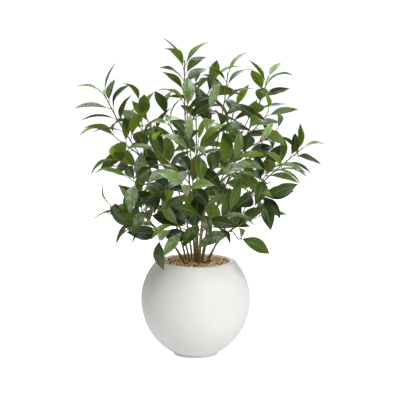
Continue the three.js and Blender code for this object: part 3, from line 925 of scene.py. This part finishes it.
def pot_profile():
    """Half of the pot's section, from the middle of its underside out, over the lip and down inside."""
    foot = [(0, 0), (FOOT_RADIUS - FOOT_ROUND, 0)]
    for i in range(1, FOOT_STEPS + 1):
        a = math.radians(90 * i / FOOT_STEPS)
        foot.append((FOOT_RADIUS - FOOT_ROUND * (1 - math.sin(a)), FOOT_ROUND * (1 - math.cos(a))))
    lower = belly(FOOT_HEIGHT, BELLY_HEIGHT, 0)
    out, down = CREASE_LOW
    inward, low = CREASE_HIGH
    crease = [(FOOT_RADIUS + out, FOOT_HEIGHT - down), (lower[0][0] - inward, FOOT_HEIGHT - low)]
    upper = belly(BELLY_HEIGHT, POT_HEIGHT - LIP_DROP, 0)[1:]
    edge = upper[-1][0]
    middle, half = (edge + MOUTH_RADIUS) / 2, (edge - MOUTH_RADIUS) / 2
    lip = []
    for i in range(1, LIP_STEPS):
        a = math.pi * i / LIP_STEPS
        height = POT_HEIGHT - LIP_DROP * (1 - math.sin(a) ** LIP_FULLNESS)
        lip.append((middle + half * math.cos(a), height))
    neck = [(MOUTH_RADIUS, POT_HEIGHT - LIP_DROP), (MOUTH_RADIUS, NECK_HEIGHT)]
    inner = belly(BELLY_HEIGHT, NECK_HEIGHT - SHOULDER, WALL)[::-1]
    inner += belly(FLOOR_HEIGHT, BELLY_HEIGHT, WALL)[-2::-1]
    return foot + crease + lower + upper + lip + neck + inner + [(0, FLOOR_HEIGHT)]


def make_pot():
    bm = bmesh.new()
    points = [bm.verts.new((radius * MM, 0, height * MM)) for radius, height in pot_profile()]
    edges = [bm.edges.new(pair) for pair in zip(points, points[1:])]
    bmesh.ops.spin(
        bm,
        geom=points + edges,
        cent=(0, 0, 0),
        axis=(0, 0, 1),
        angle=math.tau,
        steps=POT_STEPS,
        use_merge=True,
    )
    bmesh.ops.remove_doubles(bm, verts=bm.verts, dist=MERGED)
    bmesh.ops.recalc_face_normals(bm, faces=bm.faces)
    piece = finished(bm, "ball_pot", [ceramic_finish()])
    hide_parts("pot")


def gravel_bed():
    """The gravel's solid cut off at the bed, in the second material."""
    bm = bmesh.new()
    bm.from_mesh(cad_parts["gravel"].data)
    bmesh.ops.remove_doubles(bm, verts=bm.verts, dist=MERGED)
    for vert in bm.verts:
        vert.co.z = min(vert.co.z, BED_HEIGHT * MM)
    for face in bm.faces:
        face.material_index = 1
    return bm


def stone_spot(n, draw):
    """The centre, size and flatness of the spiral's nth stone."""
    size = between(STONE_SIZE, draw())
    reach = min(STONE_PITCH * math.sqrt(n + 0.5) + STONE_DRIFT * (draw() - 0.5), MOUTH_RADIUS - size)
    angle = math.radians(GOLDEN_ANGLE * n) + STONE_TURN * (draw() - 0.5) / (1 + TURN_FADE * reach)
    flat = between(STONE_FLATNESS, draw())
    height = STONE_TOP - size * flat - STONE_SINK * draw()
    return np.array([reach * math.cos(angle), reach * math.sin(angle), height]), size, flat


def make_gravel(shoots):
    """Loose stones on a bed: each a small ball pushed out of round, flattened and turned."""
    draw = seeded(GRAVEL_SEED)
    bm = gravel_bed()
    traits = bm.verts.layers.float_color.new("traits")
    stems = np.concatenate([shoot.track for shoot in shoots if shoot.points[0][2] == STEM_FOOT_HEIGHT])
    stems = stems[stems[:, 2] < POT_HEIGHT + STEM_CHECKED]
    for n in range(int((MOUTH_RADIUS / STONE_PITCH) ** 2)):
        centre, size, flat = stone_spot(n, draw)
        turn = Matrix.Rotation(math.tau * draw(), 4, "Z")
        turn = turn @ Matrix.Rotation(STONE_TILT * (draw() - 0.5), 4, "X")
        shape = Matrix.Diagonal((1, between(STONE_SLIMNESS, draw()), flat, 1))
        shade = draw()
        offset = Vector((draw(), draw(), draw())) * LUMP_SPAN
        if np.linalg.norm(stems - centre, axis=1).min() < STEM_RADIUS + STONE_ROOM * size:
            continue
        made = bmesh.ops.create_uvsphere(bm, u_segments=STONE_SIDES, v_segments=STONE_RINGS, radius=1)
        for vert in made["verts"]:
            vert.co *= 1 + LUMP_HEIGHT * noise.noise(vert.co * LUMP_PITCH + offset)
            vert[traits] = (shade, 0, 0, 1)
        place = Matrix.Translation(Vector(centre) * MM) @ Matrix.Scale(size * MM, 4) @ turn @ shape
        bmesh.ops.transform(bm, matrix=place, verts=made["verts"])
    piece = finished(bm, "gravel_stones", [stone_finish(), bed_finish()])
    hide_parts("gravel")


def add_blade(bm, leaf, traits, uv, look):
    """One blade: a grid drawn to the leaf's outline, closer at both ends, with its midrib sunk in."""
    columns = len(BLADE_WIDTHS) - 1
    made = bmesh.ops.create_grid(bm, x_segments=BLADE_LENGTHS, y_segments=columns, size=1)["verts"]
    spots = {}
    for vert in made:
        row = (vert.co.x + 1) / 2
        along = (row + (1 - math.cos(math.pi * row)) / 2) / 2
        across = BLADE_WIDTHS[round((vert.co.y + 1) / 2 * columns)]
        spots[vert] = (along, across)
        u = STALK + (1 - STALK) * along
        half = float(leaf.half_at(u)) * (1 - DRAWN_TIP * along**TIP_POWER)
        sunk = GROOVE if across == 0 else 0
        vert.co = Vector(leaf.place(u, across * half, -sunk)) * MM
        vert[traits] = look
    for face in {face for vert in made for face in vert.link_faces}:
        for loop in face.loops:
            along, across = spots[loop.vert]
            loop[uv].uv = (along, (across + 1) / 2)


def make_leaves(stem, leaves, materials):
    """The stem's blades. Their traits are a tint, how young they are and their sheen, painted into their
    colour.
    """
    bm = bmesh.new()
    traits = bm.verts.layers.float_color.new("traits")
    uv = bm.loops.layers.uv.new("blade")
    draw = seeded(LOOKS_SEED + list(STEMS).index(stem))
    for leaf in leaves:
        youth = YOUNG_AT_TIP * past(leaf.rank, YOUNG_FROM) * draw()
        youth += ODD_YOUNG * past(draw(), ODD_YOUNG_FROM)
        # The sheen is painted pale into a leaf's colour, and it lowers the leaf's roughness a little.
        sheen = past(draw(), SHEEN_FROM)
        add_blade(bm, leaf, traits, uv, (draw(), min(youth, 1), sheen, 1))
    piece = finished(bm, "leaves_" + stem, materials)
    thick = piece.modifiers.new("thickness", "SOLIDIFY")
    thick.thickness = BLADE_THICKNESS * MM
    thick.offset = 0
    thick.material_offset = 1
    smooth = piece.modifiers.new("smooth", "SUBSURF")
    smooth.levels = smooth.render_levels = 1
    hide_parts("stem_" + stem)


def add_tube(curve, points, radii, material):
    """A round tube through the points, as one more spline of the curve."""
    spline = curve.splines.new("POLY")
    spline.points.add(len(points) - 1)
    spline.material_index = material
    for spot, point, radius in zip(spline.points, points, radii):
        spot.co = (*(point * MM), 1)
        spot.radius = radius


def make_shoots(stem, shoots, leaves, materials):
    """The stem's woody shoots, swollen where a leaf leaves them, and the stalks that run on as midribs."""
    curve = bpy.data.curves.new("shoots_" + stem, "CURVE")
    curve.dimensions = "3D"
    curve.bevel_depth = MM
    curve.bevel_resolution = SHOOT_BEVELS
    curve.use_fill_caps = True
    for shoot in shoots:
        steps = sorted({i / SHOOT_STEPS for i in range(SHOOT_STEPS + 1)} | set(shoot.nodes))
        radii = []
        for t in steps:
            swell = max([math.exp(-(((t - node) * NODE_TIGHTNESS) ** 2)) for node in shoot.nodes] or [0])
            slimness = between((1, TIP_SLIMNESS), t)
            radii.append(slimness * between(shoot.radii, t) + NODE_SWELL * swell)
        add_tube(curve, [shoot.at(t) for t in steps], radii, 0)
    for leaf in leaves:
        points = [leaf.place(share, 0, -GROOVE - MIDRIB_SUNK) for share, _ in STALK_RADII]
        add_tube(curve, points, [radius for _, radius in STALK_RADII], 1)
    holder = bpy.data.objects.new("holder", curve)
    mesh = bpy.data.meshes.new_from_object(holder)
    bpy.data.objects.remove(holder)
    mesh.materials.clear()
    shown(mesh, "shoots_" + stem, materials)


def make_plant(shoots, leaves):
    """Each stem's leaves and shoots, which stand together for its solid."""
    # pale is how strongly each face's painted sheen shows.
    upper = leaf_finish(
        "leaf_upper",
        UPPER_GREENS,
        roughness=0.34,
        specular=0.5,
        glow=0.1,
        pale=0.7,
        rib_share=0.5,
        vein_share=0.22,
    )
    under = leaf_finish(
        "leaf_under",
        UNDER_GREENS,
        roughness=0.55,
        specular=0.3,
        glow=0.3,
        pale=0.12,
        rib_share=0.4,
        vein_share=0.2,
    )
    wood = [bark_finish(), stalk_finish()]
    for stem in STEMS:
        own_leaves = [leaf for leaf in leaves if leaf.shoot.stem == stem]
        own_shoots = [shoot for shoot in shoots if shoot.stem == stem]
        make_leaves(stem, own_leaves, [upper, under])
        make_shoots(stem, own_shoots, own_leaves, wood)


def dress_soil():
    """The soil keeps its solid, in potting mix."""
    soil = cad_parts["soil"]
    soil.data.materials.clear()
    soil.data.materials.append(bed_finish())


def make_camera():
    """A long lens a little above the lip, looking down at the pot."""
    camera = bpy.data.objects.new("camera", bpy.data.cameras.new("camera"))
    camera.data.lens = LENS
    camera.data.sensor_width = SENSOR
    camera.data.clip_end = CAMERA_REACH
    camera.location = CAMERA_PLACE
    camera.rotation_euler = (math.radians(90 - CAMERA_DOWN), 0, 0)
    bpy.context.scene.collection.objects.link(camera)
    bpy.context.scene.camera = camera


def make_floor():
    """A white floor: bright to look at, while what it throws back on the pot stays soft."""
    bm = bmesh.new()
    bmesh.ops.create_grid(bm, x_segments=1, y_segments=1, size=FLOOR_HALF)
    mesh = bpy.data.meshes.new("floor")
    bm.to_mesh(mesh)
    bm.free()
    floor = bpy.data.objects.new("floor", mesh)
    finish = Finish("studio_floor", specular=0.1)
    seen = finish.node("LightPath", {}, {}, "Is Camera Ray")
    finish.set("Base Color", grey(FLOOR_GREY))
    finish.set("Roughness", FLOOR_ROUGHNESS)
    finish.set("Emission Color", finish.mix(seen, grey(FLOOR_GLOW), grey(1)))
    finish.set("Emission Strength", 1)
    mesh.materials.append(finish.material)
    bpy.context.scene.collection.objects.link(floor)


def make_world():
    """A white surround that lights from the backdrop, less from the left and hardly at all from in front."""
    world = bpy.data.worlds.new("studio")
    wiring = Wiring(world)
    across, depth, _ = wiring.place("Generated").parts()
    glow = depth.within(*BACKDROP_DEPTHS) * across.within(*BACKDROP_SIDES) * BACKDROP_GLOW + LEAST_GLOW
    lit = wiring.node("Background", {}, {"Color": grey(1), "Strength": glow})
    seen = wiring.node("Background", {}, {"Color": grey(1)})
    ray = wiring.node("LightPath", {}, {}, "Is Camera Ray")
    mix = wiring.node("MixShader", {}, {"Fac": ray, 1: lit, 2: seen})
    wiring.feed(wiring.nodes["World Output"].inputs["Surface"], mix)
    bpy.context.scene.world = world


def make_light(name, place, target, size, power):
    """A round soft lamp."""
    light = bpy.data.objects.new(name, bpy.data.lights.new(name, "AREA"))
    light.data.shape = "DISK"
    light.data.size = size
    light.data.energy = power
    light.location = place
    aim = Vector(target) - Vector(place)
    light.rotation_euler = aim.to_track_quat("-Z", "Y").to_euler()
    bpy.context.scene.collection.objects.link(light)


make_camera()
make_floor()
make_world()
for name, lamp in LAMPS.items():
    make_light(name, *lamp)

shoots, leaves = grow_plant()
make_pot()
make_gravel(shoots)
dress_soil()
make_plant(shoots, leaves)

bpy.context.scene.view_settings.view_transform = "Standard"
